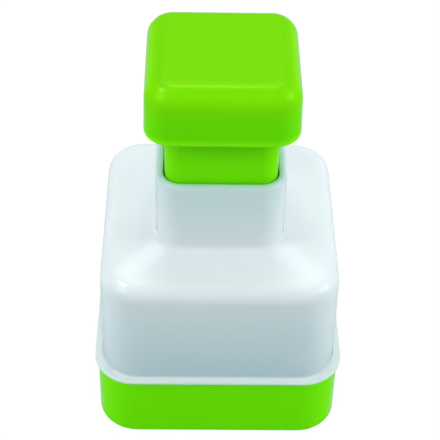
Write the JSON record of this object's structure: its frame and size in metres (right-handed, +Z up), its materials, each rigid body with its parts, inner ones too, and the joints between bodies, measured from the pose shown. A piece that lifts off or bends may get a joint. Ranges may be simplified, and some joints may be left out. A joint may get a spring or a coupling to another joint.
{
  "type": "burger press",
  "caption": "Square hand press for small burger patties: a palm knob on a square stem drives a sprung plate down inside a lift-off housing that stands in a tray.",
  "frame": {"origin": "centre of the tray's standing rim, on the surface that the press stands on", "axes": "+Z up along the plunger, X and Y square to the side walls, -Y towards the viewer"},
  "size_m": [0.088, 0.088, 0.1406],
  "materials": {
    "green_plastic": "moulded lime-green plastic, soft gloss",
    "milky_plastic": "moulded milky white plastic, slightly translucent",
    "slide_plastic": "natural white sliding plastic",
    "steel": "stainless steel"
  },
  "bodies": {
    "base": {"base_tray": "green_plastic"},
    "housing": {"housing": "milky_plastic", "guide_bush": "slide_plastic", "return_spring": "steel"},
    "plunger": {"stem_sleeve": "green_plastic", "knob_cap": "green_plastic", "knob_screws": "steel", "plunger_rod": "slide_plastic", "rod_washer": "steel", "rod_screw": "steel", "press_plate": "green_plastic", "plate_screws": "steel"}
  },
  "joints": [
    {"name": "housing_lift", "type": "slide", "parent": "base", "child": "housing", "axis": [0, 0, 1], "range_m": [0, 0.03]},
    {"name": "plunger_press", "type": "slide", "parent": "housing", "child": "plunger", "axis": [0, 0, -1], "range_m": [0, 0.02], "stiffness_N_per_m": 400, "springref_m": -0.01, "deforming": ["return_spring"]}
  ]
}
